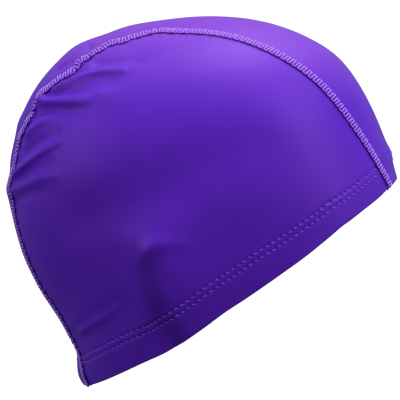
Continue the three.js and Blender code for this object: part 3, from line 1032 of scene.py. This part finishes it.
# %% [markdown]
# ## The overlocked seams
#
# Along each seam the two cut edges are bound together and lie flat as a raised band, pressed
# towards the top of the head. The band is a copy of the node's own solid, rounded and swollen a
# little between stitches. Its edge over the side panel stands clear above a shallow groove, which
# gives the dark line in the photograph, and its other edge is pressed down onto the centre panel.

# %% Seam bands
seam_names = {"right": "seam_right", "left": "seam_left"}
seam_pitch = 3.1 * MM
band_half = 1.9 * MM


def seam_band(hand):
    grid = bmesh.new()
    grid.from_mesh(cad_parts[seam_names[hand]].data)
    bmesh.ops.remove_doubles(grid, verts=grid.verts, dist=0.01 * MM)
    bmesh.ops.join_triangles(
        grid, faces=grid.faces, angle_face_threshold=math.radians(40), angle_shape_threshold=math.pi,
    )
    band = rounded(grid, seam_names[hand] + "_grid", 2)
    grid.free()
    near = search_tree(drawn_seams[hand])
    for vert in band.verts:
        vert.co = drawn(vert.co)
        middle, index, distance = near.find(vert.co)
        vert.co += seam_lines[hand][index] - middle
        point, along, outward, across = seam_frames[hand][index]
        share = (vert.co - point).dot(across) / band_half
        height = (vert.co - point).dot(outward)
        swell = 0.5 - 0.5 * math.cos(2 * math.pi * index * line_step / seam_pitch)
        lift = 0.10 * MM * swell * min(1, height / (0.9 * MM)) - 0.4 * height
        if share < 0:
            lift -= 0.22 * MM * min(1, share * share)
            vert.co += across * 0.6 * MM * share
        vert.co += outward * lift
    return finish_piece(seam_names[hand] + "_band", band, knit)


bands = {hand: seam_band(hand) for hand in seam_names}
for hand, band in bands.items():
    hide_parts(seam_names[hand])
    print(band.name, len(band.data.polygons), "faces")

# %% [markdown]
# ## Threads
#
# A thread is a line with thickness, so it is drawn as a curve with a round bevel and then made a
# mesh. The overlock thread crosses the band in two parallel slanted strokes for each stitch and
# turns low at both edges. On the hem each needle stitch is a short curve of its own that dips into
# the cloth at both ends, and a looper thread zigzags between the two rows inside.

# %% Draw threads
def draw_thread(name, strands, radius, material=thread):
    """A piece made of one or more strands, each a list of points."""
    curve = bpy.data.curves.new(name, "CURVE")
    curve.dimensions = "3D"
    curve.bevel_depth = radius
    curve.bevel_resolution = 1
    curve.use_fill_caps = True
    for points in strands:
        spline = curve.splines.new("POLY")
        spline.points.add(len(points) - 1)
        for spot, point in zip(spline.points, points):
            spot.co = (*point, 1)
    item = link(name + "_line", curve)
    depsgraph = bpy.context.evaluated_depsgraph_get()
    mesh = bpy.data.meshes.new_from_object(item.evaluated_get(depsgraph))
    shape = bmesh.new()
    shape.from_mesh(mesh)
    bpy.data.objects.remove(item)
    bpy.data.meshes.remove(mesh)
    return finish_piece(name, shape, material)


def place_on(frames, along_mm, across_mm, height_mm):
    """A point at a distance along a line, across it and above the cloth."""
    spot = min(len(frames) - 1.001, max(0, along_mm * MM / line_step))
    index = int(spot)
    share = spot - index
    point, along, outward, across = frames[index]
    point = point.lerp(frames[index + 1][0], share)
    return point + across * across_mm * MM + outward * height_mm * MM


# %% Overlock threads
# One stitch: share of the pitch along the seam, place across the band and height above the cloth.
overlock_stitch = [
    {"along": 0.00, "across": 1.7, "height": 0.62},
    {"along": 0.02, "across": 1.3, "height": 0.90},
    {"along": 0.07, "across": -0.2, "height": 0.98},
    {"along": 0.12, "across": -1.9, "height": 0.76},
    {"along": 0.15, "across": -2.5, "height": 0.25},
    {"along": 0.62, "across": -2.5, "height": 0.25},
    {"along": 0.60, "across": -1.9, "height": 0.76},
    {"along": 0.55, "across": -0.2, "height": 0.98},
    {"along": 0.50, "across": 1.3, "height": 0.90},
    {"along": 0.48, "across": 1.7, "height": 0.62},
]
thread_radius = 0.31 * MM

for hand in seam_names:
    frames = seam_frames[hand]
    length = (len(frames) - 1) * line_step / MM
    count = round(length / (seam_pitch / MM))
    pitch = length / count
    over = [
        place_on(frames, (stitch + row["along"]) * pitch, row["across"], row["height"])
        for stitch in range(count) for row in overlock_stitch
    ]
    draw_thread(seam_names[hand] + "_overlock", [over], thread_radius)

# %% Hem stitches
needle_strands = []
looper_strands = []
pitch = stitch_pitch / MM
for frames in trace_hems(dressed_cap):
    count = int((len(frames) - 1) * line_step / stitch_pitch)

    def on_hem(along_mm, row_mm, height_mm):
        """A point at a distance along the hem, up from its edge and above the cloth."""
        spot, outward = dressed_cap.find_nearest(place_on(frames, along_mm, row_mm, 0))[:2]
        return spot + outward * height_mm * MM

    for stitch in range(1, count):
        for number, row in enumerate(needle_rows):
            start = (stitch - 0.5 * number) * pitch
            y = frames[int(start * MM / line_step)][0].y
            row = row_height(row, y) / MM
            sunk = min(1, max(0, (y / MM + 5) / 45)) * 0.28
            needle_strands.append([
                on_hem(start + 0.75, row - 0.2, -0.35),
                on_hem(start + 1.0, row - 0.15, 0.12 - sunk),
                on_hem(start + 1.6, row, 0.28 - sunk),
                on_hem(start + 2.2, row + 0.15, 0.12 - sunk),
                on_hem(start + 2.45, row + 0.2, -0.35),
            ])
    looper_strands.append([
        on_hem(
            step * pitch / 2,
            row_height(
                needle_rows[step % 2], frames[int(step * pitch / 2 * MM / line_step)][0].y,
            ) / MM,
            -1.55,
        )
        for step in range(2 * count)
    ])
hem_needle = draw_thread("hem_needle_stitches", needle_strands, 0.22 * MM, hem_thread)
hem_looper = draw_thread("hem_looper_thread", looper_strands, 0.18 * MM, hem_thread)
print(len(needle_strands), "needle stitches", len(hem_needle.data.polygons), "faces")
